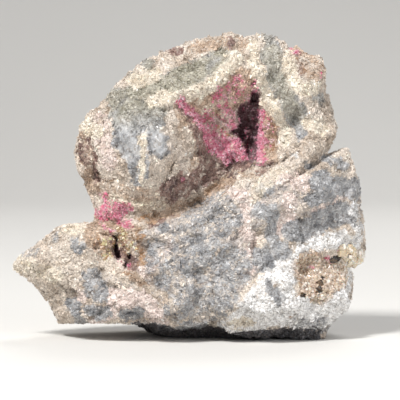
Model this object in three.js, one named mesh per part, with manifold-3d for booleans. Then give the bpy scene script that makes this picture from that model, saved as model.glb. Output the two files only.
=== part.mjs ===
// An erythrite specimen: a hand-sized lump of pale vein rock with pink cobalt bloom in its hollows.
// A rounded lobe stands on a broad slab. Erythrite crusts the hollow in the lobe's face and the pocket
// at the lobe's foot, and blocky crystals line a vug at the slab's right end.
// Millimetres. X runs right, Y away from the viewer and Z up. The lump stands on a flat patch at Z = 0.

import * as THREE from "three";
import Module from "manifold-3d";
import { mergeVertices } from "three/addons/utils/BufferGeometryUtils.js";

const wasm = await Module();
wasm.setup();

// Driving dimensions of the whole lump.
const LUMP_WIDTH = 99.6;
const LUMP_DEPTH = 52.0;
const LUMP_HEIGHT = 85.4;

// The lump seen from the front, anticlockwise from its right end, as [x, z]. A spline runs through it.
const OUTLINE = [
  [50.2, 26.0], [49.4, 32.0], [48.2, 42.8], [45.2, 50.4], [43.8, 52.0], [38.6, 50.4], [42.0, 57.4],
  [41.2, 62.6], [39.3, 69.8], [38.1, 77.4], [34.5, 80.2], [31.8, 81.6], [28.6, 80.4], [25.2, 84.0],
  [18.8, 83.8], [15.4, 83.9], [11.6, 85.0], [0.2, 81.8], [-6.8, 79.0], [-12.6, 76.8], [-21.6, 68.0],
  [-29.2, 59.2], [-31.4, 51.4], [-29.2, 43.8], [-26.8, 38.2], [-25.6, 34.8], [-26.6, 31.6],
  [-32.6, 31.3], [-36.9, 30.2], [-43.6, 24.8], [-49.8, 20.4], [-43.2, 14.2], [-38.4, 9.0],
  [-36.2, 3.9], [-25.2, 4.6], [-14.2, 5.0], [-4.8, 2.4], [10.0, 1.8], [24.0, 0.8], [37.0, 0.6],
  [40.8, 4.4], [46.0, 10.0], [46.5, 15.8], [46.0, 19.5], [50.0, 22.4],
];
const OUTLINE_STEPS = 360;
const HEART = { x: 2.0, z: 27.0 };

// A section from front to back is a rounded box, squarer at the foot than round the lobe. A squareness
// of 2 would make it an ellipse.
const SQUARENESS = 4.4;
const FOOT_SQUARENESS = 11;
// Behind the rim the outline is cut down by its own copy turned with depth, so the back narrows unevenly.
const BACK_TWIST = 0.2;
// The rim wanders in depth on its way round the lump: waves, each [rise, turns, start].
const RIM_WAVES = [[3.2, 1, 0.9], [2.4, 2, -0.6], [1.6, 5, 2.1], [1.0, 8, 0.3]];

// The seam between lobe and slab as [x, z], and how far the face sinks along it as [x, sink].
const SEAM = [
  [-30.0, 30.4], [-19.6, 30.6], [-7.0, 33.3], [4.2, 36.2], [11.6, 42.6], [13.6, 47.0], [20.2, 49.6],
  [41.0, 53.2],
];
const SEAM_SINK = [
  [-30.0, 1.0], [-20.0, 3.6], [-7.0, 5.6], [3.0, 7.6], [11.0, 6.0], [18.0, 2.4], [41.0, 0.8],
];
const SINK_ABOVE = 5.6;
const SINK_BELOW = 1.2;
const SEAM_STEP = 2.2;

// How far the face and the back stand out from the rim plane.
const LOBE_FACE = 13.0;
const SLAB_FACE = 23.0;
const SLAB_LEAN = 0.14;
const BACK_LOBE = 17.5;
const BACK_SLAB = 24.5;
const TIP_SHARE = 0.34;
const TIP_TAPER = [-54, -14];

// Swells and dents of the face: round [x, z] mounds with a reach each way. A negative rise is a dent.
const MOUNDS = [
  { name: "boss", at: [-12.2, 54.0], reach: [14.0, 17.0], turn: 0, rise: 11.5 },
  { name: "crest", at: [8.0, 73.0], reach: [26.0, 7.5], turn: 10, rise: 4.6 },
  { name: "right wing", at: [31.0, 64.0], reach: [8.5, 20.0], turn: 10, rise: 5.6 },
  { name: "recess under the hollow", at: [4.4, 47.6], reach: [8.6, 7.4], turn: 30, rise: -6.2 },
  { name: "funnel", at: [13.6, 58.4], reach: [9.0, 11.5], turn: 24, rise: -6.4 },
  { name: "foot pocket", at: [-19.2, 26.4], reach: [5.6, 7.0], turn: 20, rise: -4.0 },
  { name: "slab shoulder", at: [30.0, 42.0], reach: [17.0, 7.0], turn: 12, rise: 2.8 },
  { name: "slab belly", at: [0.0, 20.0], reach: [20.0, 9.0], turn: 8, rise: 2.2 },
  { name: "white toe", at: [22.0, 10.5], reach: [14.0, 5.0], turn: -4, rise: 2.6 },
  { name: "vug", at: [36.6, 19.2], reach: [7.0, 5.8], turn: 34, rise: -4.6 },
  { name: "dent left of the vug", at: [13.0, 24.0], reach: [8.0, 5.0], turn: 30, rise: -2.0 },
  { name: "tip dent", at: [-33.0, 24.0], reach: [7.0, 3.6], turn: 28, rise: -2.2 },
];

// Ribs along a line of [x, z] points on the face, and furrows, whose rise is negative.
const RIBS = [
  { name: "pale arch", line: [[-9.4, 65.8], [-1.4, 67.0], [7.4, 70.6], [14.6, 77.4]], half: 2.0, rise: 2.6 },
  { name: "outer arch", line: [[-21, 67], [-13, 74.6], [6, 81.4], [16, 81.6]], half: 2.4, rise: 1.4 },
  { name: "grey arch", line: [[-15, 68], [-6, 72.4], [11, 78.4]], half: 2.2, rise: -1.4 },
  { name: "right rib", line: [[18.6, 78], [22.6, 65], [28.2, 52.6]], half: 2.4, rise: 2.8 },
  { name: "grey furrow", line: [[23.2, 82], [28.6, 65.6], [31, 58.4]], half: 1.9, rise: -2.2 },
  { name: "bloom crease", line: [[-1, 66], [4, 60.4], [12, 48.6]], half: 2.0, rise: -3.0 },
  { name: "boss rib", line: [[-12, 56], [-11.2, 49], [-12.4, 43]], half: 1.4, rise: 1.6 },
  { name: "rind furrow", line: [[-27.0, 56], [-27, 47], [-24.4, 39]], half: 1.8, rise: -2.6 },
  { name: "slab bench", line: [[-8, 29], [6, 32.4], [34, 43.6]], half: 1.8, rise: -0.9 },
  { name: "lower bench", line: [[-30, 13], [-14, 16.4], [2, 19], [16, 26]], half: 1.8, rise: -0.9 },
  { name: "toe ledge", line: [[14, 8.6], [26, 6.6], [36, 9.6]], half: 1.5, rise: -1.8 },
];

// Deep holes, cut with a rough ball: where each one opens as [x, z], half its width and height, its depth.
const HOLES = [
  { name: "dark slot", at: [17.2, 57.4], half: [3.3, 9.0], turn: 4, depth: 14.0 },
  { name: "slot notch", at: [13.6, 57.8], half: [2.6, 2.2], turn: 0, depth: 7.0 },
  { name: "pocket hole", at: [-20.2, 24.6], half: [1.9, 3.2], turn: 24, depth: 6.0 },
  { name: "pocket pit", at: [-18.0, 20.6], half: [1.5, 1.5], turn: 0, depth: 4.0 },
];
const HOLE_ROUGHNESS = 0.28;

// Flat breaks where rock has come away: an outward normal [x, y, z] and a distance from the heart.
const BREAKS = [
  { name: "undercut", normal: [0.08, -0.62, -0.78], distance: 31.5 },
  { name: "left undercut", normal: [-0.5, -0.4, -0.77], distance: 38.5 },
  { name: "back left", normal: [-0.55, 0.82, 0.14], distance: 26.0 },
  { name: "back right", normal: [0.52, 0.84, 0.12], distance: 29.0 },
  { name: "back foot", normal: [0.05, 0.7, -0.71], distance: 27.0 },
  { name: "back crest", normal: [0.1, 0.74, 0.67], distance: 40.0 },
  { name: "back middle", normal: [-0.06, 0.97, 0.24], distance: 24.5 },
  { name: "back right end", normal: [0.9, 0.42, 0.05], distance: 46.5 },
  { name: "back top", normal: [0.25, 0.5, 0.83], distance: 52.5 },
  { name: "back of the lobe", normal: [-0.8, 0.55, 0.25], distance: 35.5 },
  { name: "right cheek", normal: [0.84, -0.5, 0.2], distance: 49.0 },
  { name: "crown", normal: [-0.3, -0.55, 0.78], distance: 53.0 },
  { name: "tip face", normal: [-0.62, -0.78, 0.1], distance: 35.5 },
];

// The flat patch that the lump stands on: its middle as [x, y], its reach and how far it is pressed down.
const FOOT = { at: [11.0, 2.0], reach: [26.0, 11.5], drop: 4.6 };

// Roughness of the broken rock. Ledges are flat facets with steps between them, and swells are smooth.
const LEDGES = [
  { size: 13.0, rise: 2.7, seed: 3 },
  { size: 5.6, rise: 1.3, seed: 17 },
];
const LEDGE_SHARPNESS = 22;
const SWELL = { size: 3.4, rise: 0.4, seed: 31 };
// At the rim the roughness shrinks to this share, so that the outline stays true. The band says how far
// from the rim it starts to grow and where it is whole again, as the sine of the angle to the rim plane.
const RIM_SHARE = 0.12;
const RIM_BAND = [0.03, 0.3];

// Cells of the grid over the lump: across its face, and from front to back round its rim.
const FACE_CELLS = 28;
const DEPTH_CELLS = 10;

// A crust starts one gap off the rock. Each crystal is tested against the rock swollen by the clearance.
const CRUST_GAP = 0.55;
const CLEARANCE = 0.3;

const ROCK_COLOUR = 0xc9bcaa;
const BLOOM_COLOUR = 0xc86f8c;
const BLOCKY_COLOUR = 0xd6c6ae;

const square = (t) => t * t;
const clamp01 = (t) => Math.min(1, Math.max(0, t));
const smooth = (low, high, t) => THREE.MathUtils.smoothstep(t, low, high);

// Straight-line interpolation in a table of [at, value] rows sorted by at.
function along(table, at) {
  const next = table.findIndex((row) => row[0] >= at);
  if (next === 0) return table[0][1];
  if (next < 0) return table[table.length - 1][1];
  const [a, b] = [table[next - 1], table[next]];
  return a[1] + ((b[1] - a[1]) * (at - a[0])) / (b[0] - a[0]);
}

// A number from 0 to 1 that belongs to one corner of a lattice.
function cornerValue(i, j, k, seed) {
  let h = Math.imul(i, 374761393) + Math.imul(j, 668265263) + Math.imul(k, 1440662683);
  h = Math.imul((h + Math.imul(seed, 974634777)) | 0, 1274126177);
  h = Math.imul(h ^ (h >>> 15), 2246822519);
  return ((h ^ (h >>> 13)) >>> 0) / 4294967296;
}

// Smooth noise from -1 to 1: corner values of a lattice of the given size, blended inside each cell.
function swell(point, size, seed) {
  const scaled = point.toArray().map((s) => s / size);
  const cell = scaled.map(Math.floor);
  const blend = scaled.map((s, axis) => smooth(0, 1, s - cell[axis]));
  let sum = 0;
  for (let corner = 0; corner < 8; corner += 1) {
    const step = [corner & 1, (corner >> 1) & 1, corner >> 2];
    const share = step.reduce((w, s, axis) => w * (s ? blend[axis] : 1 - blend[axis]), 1);
    sum += share * cornerValue(cell[0] + step[0], cell[1] + step[1], cell[2] + step[2], seed);
  }
  return 2 * sum - 1;
}

// Broken rock: scattered seed points each carry a tilted plane, and each plane shows near its own seed.
function ledge(point, size, seed) {
  const cell = point.toArray().map((s) => Math.floor(s / size));
  let sum = 0;
  let weights = 0;
  for (let n = 0; n < 27; n += 1) {
    const step = [(n % 3) - 1, (Math.floor(n / 3) % 3) - 1, Math.floor(n / 9) - 1];
    const [i, j, k] = cell.map((c, axis) => c + step[axis]);
    const draw = (which) => cornerValue(i, j, k, seed + which);
    const seedPoint = new THREE.Vector3(i + draw(0), j + draw(1), k + draw(2));
    const off = point.clone().divideScalar(size).sub(seedPoint);
    const tilt = new THREE.Vector3(draw(3) - 0.5, draw(4) - 0.5, draw(5) - 0.5);
    const weight = Math.exp(-LEDGE_SHARPNESS * off.lengthSq());
    sum += weight * (2 * tilt.dot(off) + draw(6) - 0.5);
    weights += weight;
  }
  return sum / weights;
}

// [x, z] in the turned and stretched frame of a mound or a hole, where 1 is one reach away.
function localTo(at, reach, turn, x, z) {
  const angle = THREE.MathUtils.degToRad(turn);
  const [dx, dz] = [x - at[0], z - at[1]];
  return [
    (dx * Math.cos(angle) + dz * Math.sin(angle)) / reach[0],
    (dz * Math.cos(angle) - dx * Math.sin(angle)) / reach[1],
  ];
}

// Shortest distance from [x, z] to a line of points.
function distanceTo(line, x, z) {
  let nearest = Infinity;
  for (let i = 1; i < line.length; i += 1) {
    const [ax, az] = line[i - 1];
    const [dx, dz] = [line[i][0] - ax, line[i][1] - az];
    const share = clamp01(((x - ax) * dx + (z - az) * dz) / (dx * dx + dz * dz));
    nearest = Math.min(nearest, Math.hypot(x - ax - share * dx, z - az - share * dz));
  }
  return nearest;
}

// The outline as [angle, radius] rows about the heart, with a row beyond each end of the turn.
const ROUND = (() => {
  const corners = OUTLINE.map(([x, z]) => new THREE.Vector3(x - HEART.x, 0, z - HEART.z));
  const curve = new THREE.CatmullRomCurve3(corners, true, "catmullrom", 0.3);
  const points = curve.getPoints(OUTLINE_STEPS).slice(1);
  const rows = points.map((p) => [Math.atan2(p.z, p.x), Math.hypot(p.x, p.z)]).sort((a, b) => a[0] - b[0]);
  const turn = 2 * Math.PI;
  const [first, last] = [rows[0], rows[rows.length - 1]];
  return [[last[0] - turn, last[1]], ...rows, [first[0] + turn, first[1]]];
})();

const rimDrift = (angle) =>
  RIM_WAVES.reduce((sum, [rise, turns, start]) => sum + rise * Math.sin(turns * angle + start), 0);

const tipTaper = (x) => THREE.MathUtils.lerp(TIP_SHARE, 1, smooth(...TIP_TAPER, x));

// Depth of the face in front of the rim plane: lobe above the seam, slab below it, then the relief.
function faceDepth(x, z) {
  const below = along(SEAM, x) - z;
  const slab = (SLAB_FACE - SLAB_LEAN * (z - HEART.z)) * tipTaper(x);
  const depth = THREE.MathUtils.lerp(LOBE_FACE, slab, smooth(-SEAM_STEP, SEAM_STEP, below));
  const sink = along(SEAM_SINK, x) * Math.exp(-square(below / (below > 0 ? SINK_BELOW : SINK_ABOVE)));
  const mounds = MOUNDS.reduce((sum, { at, reach, turn, rise }) => {
    const [u, v] = localTo(at, reach, turn, x, z);
    return sum + rise * Math.exp(-u * u - v * v);
  }, 0);
  const ribs = RIBS.reduce((sum, { line, half, rise }) => {
    return sum + rise * Math.exp(-square(distanceTo(line, x, z) / half));
  }, 0);
  return depth - sink + mounds + ribs;
}

function backDepth(x, z) {
  return THREE.MathUtils.lerp(BACK_LOBE, BACK_SLAB, smooth(-10, 10, along(SEAM, x) - z)) * tipTaper(x);
}

// How much of the full depth is left at a share of the way out to the rim.
function throughAt(across, angle) {
  const downward = Math.max(0, -Math.sin(angle));
  const squareness = THREE.MathUtils.lerp(SQUARENESS, FOOT_SQUARENESS, square(downward));
  return Math.sqrt(Math.max(0, 1 - across ** squareness));
}

// One point of the lump's main form, for a direction from its heart.
function formPoint(direction) {
  const angle = Math.atan2(direction.z, direction.x);
  const across = Math.hypot(direction.x, direction.z);
  const through = throughAt(across, angle);
  const twist = BACK_TWIST * Math.max(0, direction.y);
  const radius = Math.min(along(ROUND, angle), along(ROUND, angle + twist)) * across;
  const x = HEART.x + radius * Math.cos(angle);
  const z = HEART.z + radius * Math.sin(angle);
  const depth = direction.y < 0 ? -faceDepth(x, z) : backDepth(x, z);
  return new THREE.Vector3(x, depth * through + rimDrift(angle) * across, z);
}

// Y of the main form's face at [x, z].
function faceY(x, z) {
  const angle = Math.atan2(z - HEART.z, x - HEART.x);
  const across = Math.hypot(x - HEART.x, z - HEART.z) / along(ROUND, angle);
  return rimDrift(angle) * across - faceDepth(x, z) * throughAt(across, angle);
}

function breakFlat(point) {
  for (const { normal, distance } of BREAKS) {
    const outward = new THREE.Vector3(...normal).normalize();
    const over = outward.dot(new THREE.Vector3(point.x - HEART.x, point.y, point.z - HEART.z)) - distance;
    if (over > 0) point.addScaledVector(outward, -over);
  }
}

function roughen(point, direction) {
  const ledges = LEDGES.reduce((sum, { size, rise, seed }) => sum + rise * ledge(point, size, seed), 0);
  const rise = ledges + SWELL.rise * swell(point, SWELL.size, SWELL.seed);
  const share = THREE.MathUtils.lerp(RIM_SHARE, 1, smooth(...RIM_BAND, Math.abs(direction.y)));
  const outward = new THREE.Vector3(direction.x, 2 * direction.y, direction.z).normalize();
  point.addScaledVector(outward, rise * share);
}

// Presses the underside down round the foot and cuts it off level.
function standOnFoot(point, direction) {
  const u = (point.x - FOOT.at[0]) / FOOT.reach[0];
  const v = (point.y - FOOT.at[1]) / FOOT.reach[1];
  const press = smooth(0.15, 0.6, -direction.z) * Math.exp(-square(u * u + v * v));
  point.z = Math.max(0, point.z - FOOT.drop * press);
}

function closedGeometry(geometry) {
  geometry.deleteAttribute("normal");
  geometry.deleteAttribute("uv");
  return mergeVertices(geometry, 1e-4);
}

// Moves each vertex to where the place function puts it.
function reshape(geometry, place) {
  const position = geometry.attributes.position;
  for (let i = 0; i < position.count; i += 1) {
    const placed = place(new THREE.Vector3().fromBufferAttribute(position, i), i);
    position.setXYZ(i, placed.x, placed.y, placed.z);
  }
  return geometry;
}

// The rock: a box grid blown up onto the form, broken flat, roughened, and fitted to its size.
function makeRock() {
  const rock = closedGeometry(new THREE.BoxGeometry(2, 2, 2, FACE_CELLS, DEPTH_CELLS, FACE_CELLS));
  reshape(rock, (corner) => {
    const spread = corner.toArray().map((c) => Math.tan((c * Math.PI) / 4));
    const direction = new THREE.Vector3(...spread).normalize();
    const point = formPoint(direction);
    breakFlat(point);
    roughen(point, direction);
    standOnFoot(point, direction);
    return point;
  });
  rock.computeBoundingBox();
  const { min, max } = rock.boundingBox;
  const size = max.clone().sub(min);
  rock.translate(-(min.x + max.x) / 2, -(min.y + max.y) / 2, -min.z);
  rock.scale(LUMP_WIDTH / size.x, LUMP_DEPTH / size.y, LUMP_HEIGHT / size.z);
  return rock;
}

function solidOf(geometry) {
  return new wasm.Manifold(
    new wasm.Mesh({
      numProp: 3,
      vertProperties: new Float32Array(geometry.attributes.position.array),
      triVerts: new Uint32Array(geometry.index.array),
    }),
  );
}

function geometryOf(solid) {
  const { vertProperties, triVerts } = solid.getMesh();
  const geometry = new THREE.BufferGeometry();
  geometry.setAttribute("position", new THREE.BufferAttribute(vertProperties, 3));
  geometry.setIndex(new THREE.BufferAttribute(triVerts, 1));
  return geometry;
}

// Cuts the deep holes into the rock.
function cutHoles(solid) {
  return HOLES.reduce((rest, { at, half, turn, depth }) => {
    const ball = closedGeometry(new THREE.IcosahedronGeometry(1, 1));
    reshape(ball, (p) => p.multiplyScalar(1 + HOLE_ROUGHNESS * swell(p, 0.6, Math.round(depth * 10))));
    ball.scale(half[0], depth, half[1]);
    ball.rotateY(-THREE.MathUtils.degToRad(turn));
    ball.translate(at[0], faceY(...at), at[1]);
    return rest.subtract(solidOf(ball));
  }, solid);
}

// Normals of the rock, evened out over each vertex's neighbours so that nothing grown along them folds.
function evenNormals(rock, rounds) {
  rock.computeVertexNormals();
  let normals = Array.from({ length: rock.attributes.position.count }, (_, i) =>
    new THREE.Vector3().fromBufferAttribute(rock.attributes.normal, i),
  );
  for (let round = 0; round < rounds; round += 1) {
    const sums = normals.map((n) => n.clone());
    for (let t = 0; t < rock.index.count; t += 3) {
      const corners = [0, 1, 2].map((c) => rock.index.getX(t + c));
      for (const c of corners) for (const d of corners) sums[c].add(normals[d]);
    }
    normals = sums.map((sum) => sum.normalize());
  }
  return normals;
}

// The rock with every vertex pushed out by the clearance.
function swollen(rock, normals) {
  return solidOf(reshape(rock.clone(), (p, i) => p.addScaledVector(normals[i], CLEARANCE)));
}

// The largest group of triangles that hang together by their edges.
function largestConnected(triangles) {
  const keyOf = (edge) => edge.sort((m, n) => m - n).join("_");
  const edgesOf = ([a, b, c]) => [[a, b], [b, c], [c, a]].map(keyOf);
  const left = new Set(triangles);
  let largest = [];
  while (left.size > 0) {
    const group = [];
    const edges = new Set(edgesOf([...left][0]));
    let joined;
    do {
      joined = [...left].filter((triangle) => edgesOf(triangle).some((edge) => edges.has(edge)));
      for (const triangle of joined) {
        group.push(triangle);
        left.delete(triangle);
        edgesOf(triangle).forEach((edge) => edges.add(edge));
      }
    } while (joined.length > 0);
    if (group.length > largest.length) largest = group;
  }
  return largest;
}

// Parts each triangle in four, for the points that they have and the directions out of the rock there.
function parted(rock, normals) {
  const points = normals.map((_, v) => new THREE.Vector3().fromBufferAttribute(rock.attributes.position, v));
  const outward = [...normals];
  const middles = new Map();
  const middle = (v, w) => {
    const key = v < w ? `${v}_${w}` : `${w}_${v}`;
    if (!middles.has(key)) {
      middles.set(key, points.length);
      points.push(points[v].clone().lerp(points[w], 0.5));
      outward.push(outward[v].clone().add(outward[w]).normalize());
    }
    return middles.get(key);
  };
  const triangles = [];
  for (let t = 0; t < rock.index.count; t += 3) {
    const [a, b, c] = [0, 1, 2].map((n) => rock.index.getX(t + n));
    const [ab, bc, ca] = [middle(a, b), middle(b, c), middle(c, a)];
    triangles.push([a, ab, ca], [ab, b, bc], [ca, bc, c], [ab, bc, ca]);
  }
  return { points, outward, triangles };
}

// The patch of a surface whose triangles the cover function takes in, by their middles.
function patchOf({ points, outward, triangles }, cover) {
  const covered = triangles.filter(([a, b, c]) => {
    const centre = points[a].clone().add(points[b]).add(points[c]).divideScalar(3);
    return cover(centre, outward[a]);
  });
  const numbers = new Map();
  const renumbered = largestConnected(covered).map((corners) =>
    corners.map((v) => numbers.get(v) ?? numbers.set(v, numbers.size).get(v)),
  );
  const kept = [...numbers.keys()];
  return { points: kept.map((v) => points[v]), outward: kept.map((v) => outward[v]), triangles: renumbered };
}

// A closed skin over a patch: it starts one gap off the rock and is as thick as thickness(point) says.
function skinOver({ points, outward, triangles }, thickness) {
  const inner = points.map((p, i) => p.clone().addScaledVector(outward[i], CRUST_GAP));
  const outer = inner.map((p, i) => p.clone().addScaledVector(outward[i], thickness(p)));
  const faces = [];
  const edges = new Set(triangles.flatMap(([a, b, c]) => [`${a}_${b}`, `${b}_${c}`, `${c}_${a}`]));
  const [low, high] = [0, points.length];
  for (const [a, b, c] of triangles) {
    faces.push(low + a, low + c, low + b, high + a, high + b, high + c);
    for (const [m, n] of [[a, b], [b, c], [c, a]]) {
      if (!edges.has(`${n}_${m}`)) faces.push(low + m, low + n, high + n, low + m, high + n, high + m);
    }
  }
  const skin = new THREE.BufferGeometry().setFromPoints([...inner, ...outer]);
  skin.setIndex(faces);
  return solidOf(skin);
}

// Fuses crystals to a skin, one on some of the patch's points, and leaves out those too near the rock.
function growCrystals(skin, { points, outward }, near, { shape, share, sunk, lean, seed }) {
  const up = new THREE.Vector3(0, 1, 0);
  let grown = skin;
  points.forEach((point, i) => {
    const draw = (which) => cornerValue(i, which, 0, seed);
    if (draw(0) > share) return;
    const tilt = new THREE.Vector3(draw(1) - 0.5, draw(2) - 0.5, draw(3) - 0.5);
    const axis = outward[i].clone().addScaledVector(tilt, lean).normalize();
    const root = point.clone().addScaledVector(outward[i], CRUST_GAP + sunk);
    const crystal = shape(0.75 + 0.5 * draw(4));
    crystal.rotateY(2 * Math.PI * draw(5));
    crystal.applyQuaternion(new THREE.Quaternion().setFromUnitVectors(up, axis));
    crystal.translate(root.x, root.y, root.z);
    const solid = solidOf(crystal);
    if (solid.intersect(near).isEmpty()) grown = grown.add(solid);
  });
  return grown.subtract(near);
}

// A blade of bloom: a flattened cone of five faces that stands on its base.
function bloomBlade(scale) {
  const blade = new THREE.ConeGeometry(0.95 * scale, 2.0 * scale, 5, 1);
  blade.scale(1, 1, 0.6);
  blade.translate(0, 1.0 * scale, 0);
  return closedGeometry(blade);
}

// A blocky crystal: a short six-sided prism with a narrower top.
function blockyCrystal(scale) {
  const block = new THREE.CylinderGeometry(0.9 * scale, 1.3 * scale, 1.8 * scale, 6, 1);
  block.translate(0, 0.9 * scale, 0);
  return closedGeometry(block);
}

const inOval = (at, reach, turn, point) => Math.hypot(...localTo(at, reach, turn, point.x, point.z)) < 1;
const SLOT = HOLES[0];
const CREASE = RIBS.find(({ name }) => name === "bloom crease");

const CRUSTS = [
  {
    name: "erythrite_crust_hollow",
    colour: BLOOM_COLOUR,
    roughness: 0.45,
    cover: (point, normal) => {
      const nearSlot = inOval(SLOT.at, [8.6, 11.6], SLOT.turn, point);
      const nearCrease = distanceTo(CREASE.line, point.x, point.z) < 5.0;
      const inBulge = inOval(HOLES[1].at, [3.6, 3.2], 0, point);
      const inSlot = inBulge || inOval(SLOT.at, [4.4, 10.2], SLOT.turn, point);
      return normal.y < 0 && (nearSlot || nearCrease) && !inSlot && point.z > along(SEAM, point.x) + 1.5;
    },
    thickness: (point) => 0.8 + 0.3 * swell(point, 2.6, 41),
    crystals: { shape: bloomBlade, share: 0.11, sunk: 0.45, lean: 1.0, seed: 5 },
  },
  {
    name: "erythrite_crust_pocket",
    colour: BLOOM_COLOUR,
    roughness: 0.45,
    cover: (point, normal) => normal.y < 0 && inOval([-20.2, 35.8], [4.6, 5.6], 0, point),
    thickness: (point) => 0.8 + 0.3 * swell(point, 2.6, 43),
    crystals: { shape: bloomBlade, share: 0.12, sunk: 0.45, lean: 1.0, seed: 7 },
  },
  {
    name: "vug_crystals",
    colour: BLOCKY_COLOUR,
    roughness: 0.5,
    cover: (point, normal) => normal.y < 0 && inOval([36.8, 19.2], [7.6, 6.6], 34, point),
    thickness: (point) => 0.9 + 0.4 * swell(point, 2.4, 53),
    crystals: { shape: blockyCrystal, share: 0.22, sunk: 0.3, lean: 0.8, seed: 16 },
  },
];

function meshOf(name, solid, colour, roughness) {
  const look = { color: colour, roughness, metalness: 0, flatShading: true };
  const material = new THREE.MeshStandardMaterial(look);
  const mesh = new THREE.Mesh(geometryOf(solid), material);
  mesh.name = name;
  return mesh;
}

const specimen = new THREE.Group();
const rock = makeRock();
const normals = evenNormals(rock, 3);
const near = swollen(rock, normals);
const surface = parted(rock, normals);
specimen.add(meshOf("matrix_rock", cutHoles(solidOf(rock)), ROCK_COLOUR, 0.9));
for (const { name, colour, roughness, cover, thickness, crystals } of CRUSTS) {
  const patch = patchOf(surface, cover);
  const crust = growCrystals(skinOver(patch, thickness), patch, near, crystals);
  specimen.add(meshOf(name, crust, colour, roughness));
}

export default specimen;
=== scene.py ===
"""An erythrite specimen: its broken rock, pink bloom, drusy grains and vug crystals as fine meshes.

Form tables are in millimetres in the lump's own frame, as [x, z] on its face. Meshes are in metres.
"""

import math

import bpy
import numpy as np
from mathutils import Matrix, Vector


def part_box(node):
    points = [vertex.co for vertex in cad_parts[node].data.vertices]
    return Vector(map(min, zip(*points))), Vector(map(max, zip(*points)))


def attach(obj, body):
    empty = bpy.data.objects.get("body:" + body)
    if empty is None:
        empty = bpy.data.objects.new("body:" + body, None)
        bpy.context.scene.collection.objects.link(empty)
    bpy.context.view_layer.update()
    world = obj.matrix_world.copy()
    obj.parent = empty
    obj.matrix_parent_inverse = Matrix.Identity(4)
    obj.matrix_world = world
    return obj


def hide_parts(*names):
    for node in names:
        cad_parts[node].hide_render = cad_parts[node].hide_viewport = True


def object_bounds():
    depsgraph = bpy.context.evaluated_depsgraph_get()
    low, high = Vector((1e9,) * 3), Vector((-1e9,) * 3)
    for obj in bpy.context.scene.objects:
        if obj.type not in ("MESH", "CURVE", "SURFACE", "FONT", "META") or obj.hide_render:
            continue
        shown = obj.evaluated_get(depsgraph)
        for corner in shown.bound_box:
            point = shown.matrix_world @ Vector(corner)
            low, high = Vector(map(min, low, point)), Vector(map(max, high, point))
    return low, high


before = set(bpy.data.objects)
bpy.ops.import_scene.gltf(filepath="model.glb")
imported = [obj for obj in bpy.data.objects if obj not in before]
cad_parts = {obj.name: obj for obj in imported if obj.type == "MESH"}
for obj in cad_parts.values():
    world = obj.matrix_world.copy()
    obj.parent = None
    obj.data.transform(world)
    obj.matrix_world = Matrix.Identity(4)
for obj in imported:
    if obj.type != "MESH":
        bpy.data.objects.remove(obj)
cad_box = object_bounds()

MM = 0.001

# The outline from the front, anticlockwise from the right end, and the point that it is spun about
OUTLINE = np.array([
    [50.2, 26], [49.4, 32], [48.2, 42.8], [45.2, 50.4], [43.8, 52], [38.6, 50.4], [42, 57.4],
    [41.2, 62.6], [39.3, 69.8], [38.1, 77.4], [34.5, 80.2], [31.8, 81.6], [28.6, 80.4], [25.2, 84],
    [18.8, 83.8], [15.4, 83.9], [11.6, 85], [0.2, 81.8], [-6.8, 79], [-12.6, 76.8], [-21.6, 68],
    [-29.2, 59.2], [-31.4, 51.4], [-29.2, 43.8], [-26.8, 38.2], [-25.6, 34.8], [-26.6, 31.6],
    [-32.6, 31.3], [-36.9, 30.2], [-43.6, 24.8], [-49.8, 20.4], [-43.2, 14.2], [-38.4, 9],
    [-36.2, 3.9], [-25.2, 4.6], [-14.2, 5], [-4.8, 2.4], [10, 1.8], [24, 0.8], [37, 0.6],
    [40.8, 4.4], [46, 10], [46.5, 15.8], [46, 19.5], [50, 22.4],
])
HEART = np.array([2.0, 27.0])
SPLINE_TENSION = 0.3
# How square the section through the depth is, above and at the foot, and the back's turn in radians
SQUARENESS, FOOT_SQUARENESS = 4.4, 11.0
BACK_TWIST = 0.2
# Waves of the rim to and fro: rise, number in a full turn, start
RIM_WAVES = [(3.2, 1, 0.9), (2.4, 2, -0.6), (1.6, 5, 2.1), (1, 8, 0.3)]

# The seam between lobe and slab, and how far the face sinks along it
SEAM = np.array([
    [-30, 30.4], [-19.6, 30.6], [-7, 33.3], [4.2, 36.2], [11.6, 42.6], [13.6, 47], [20.2, 49.6],
    [41, 53.2],
])
SEAM_SINK = np.array([
    [-30, 1], [-20, 2.6], [-7, 4.4], [3, 7.2], [11, 5.4], [18, 1.4], [41, 0],
])
# Widths of the sunk band on each side of the seam, and of the step from lobe to slab
SINK_ABOVE, SINK_BELOW, SEAM_STEP = 5.6, 1.5, 2.6

# Depths of the face and the back from the rim plane
LOBE_FACE, SLAB_FACE, SLAB_LEAN = 13, 23, 0.14
BACK_LOBE, BACK_SLAB, BACK_STEP = 17.5, 24.5, 10.0
TIP_SHARE, TIP_TAPER = 0.34, (-54, -14)

# Swells and dents: middle, reach, turn in degrees, rise
MOUNDS = [
    ((-12.2, 54), (14, 17), 0, 11.5),
    ((8, 73), (26, 7.5), 10, 4.6),
    ((4.4, 47.6), (8.6, 7.4), 30, -6.4),
    ((13.6, 58.4), (9, 11.5), 24, -6.4),
    ((31, 64), (8.5, 20), 10, 5.6),
    ((32, 54), (13, 4.2), 8, 4),
    ((-19.2, 26.4), (5.6, 7), 20, -4),
    ((30, 42), (17, 7), 12, 2.8),
    ((0, 20), (20, 9), 8, 2.2),
    ((22, 10.5), (14, 5), -4, 2.6),
    ((36.6, 19.2), (7.4, 6), 34, -4),
    ((13, 24), (8, 5), 30, -2),
    ((-33, 24), (7, 3.6), 28, -2.2),
]

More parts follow.
